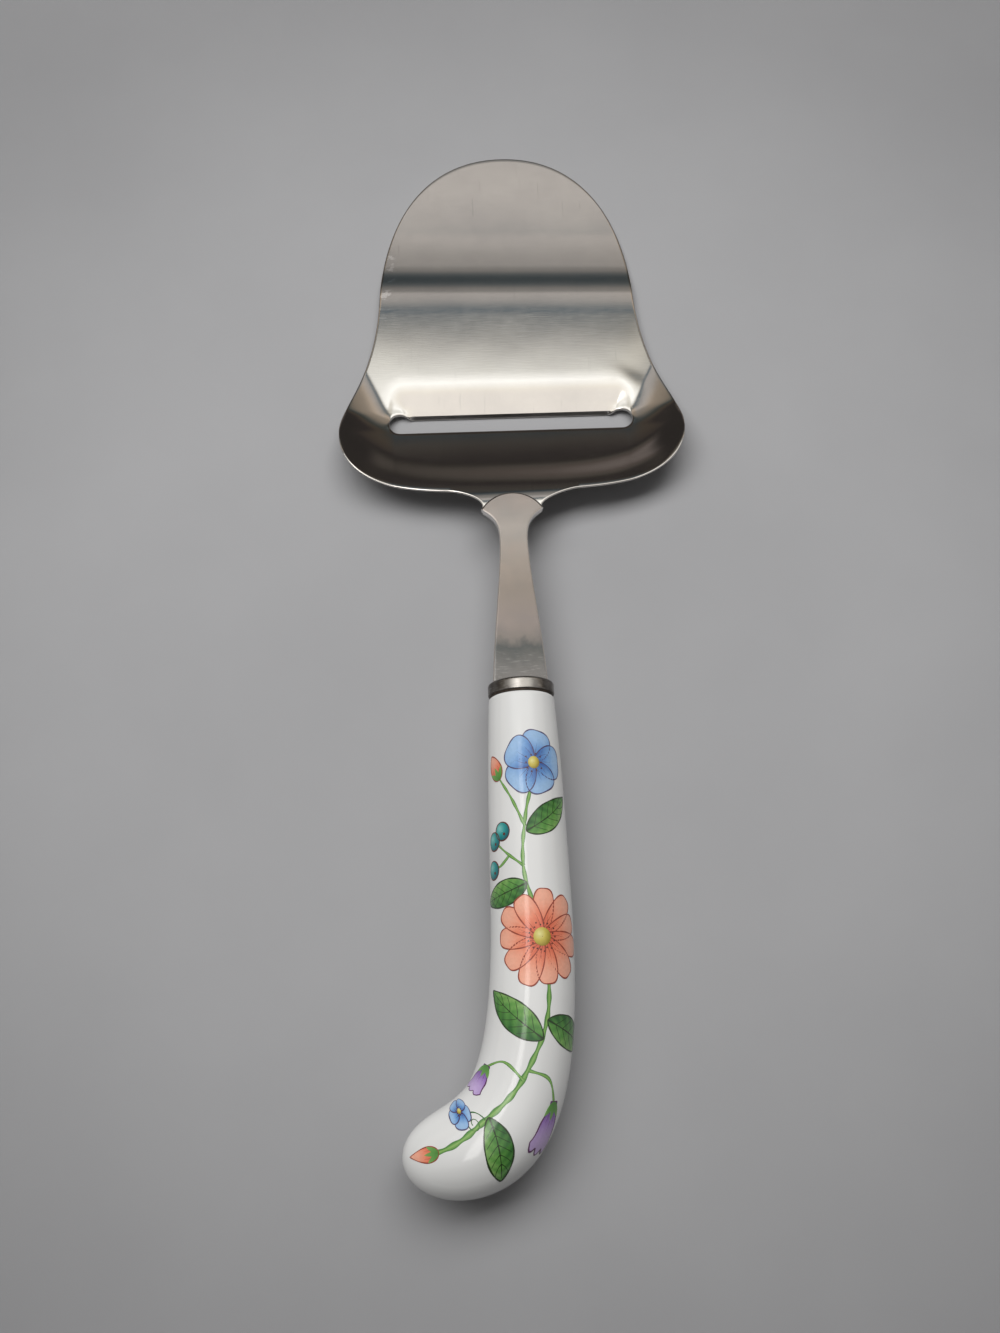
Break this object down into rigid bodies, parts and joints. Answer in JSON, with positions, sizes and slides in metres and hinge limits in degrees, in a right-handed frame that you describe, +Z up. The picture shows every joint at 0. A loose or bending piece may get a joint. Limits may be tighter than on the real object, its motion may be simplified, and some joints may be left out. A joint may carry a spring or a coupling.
{
  "type": "cheese slicer",
  "caption": "Planing cheese slicer with a pressed steel blade, cross slot, flat shank and a pistol-shaped glazed porcelain grip.",
  "frame": {"origin": "middle of the bounding box's bottom: on the plane that the slicer rests on, halfway between the blade's tip and the grip's tail, on the blade's middle line", "axes": "+Y towards the blade's tip, +Z up with the cutting face down, +X to the right seen from above; the grip's tail bends towards -X"},
  "size_m": [0.0804, 0.2444, 0.0185],
  "materials": {
    "blade_steel": "satin stainless steel, finely brushed",
    "shank_steel": "satin stainless steel, worn and slightly tarnished near the ferrule",
    "ferrule_steel": "scratched, tarnished steel",
    "seal": "dark sealing compound, matt",
    "porcelain": "glossy white glaze with printed flower decoration under it",
    "cement": "set cement, matt"
  },
  "bodies": {
    "root": {"blade": "blade_steel", "shank": "shank_steel", "spot_welds": "shank_steel", "ferrule": "ferrule_steel", "ferrule_seal": "seal", "handle": "porcelain", "tang_cement": "cement"}
  },
  "joints": []
}
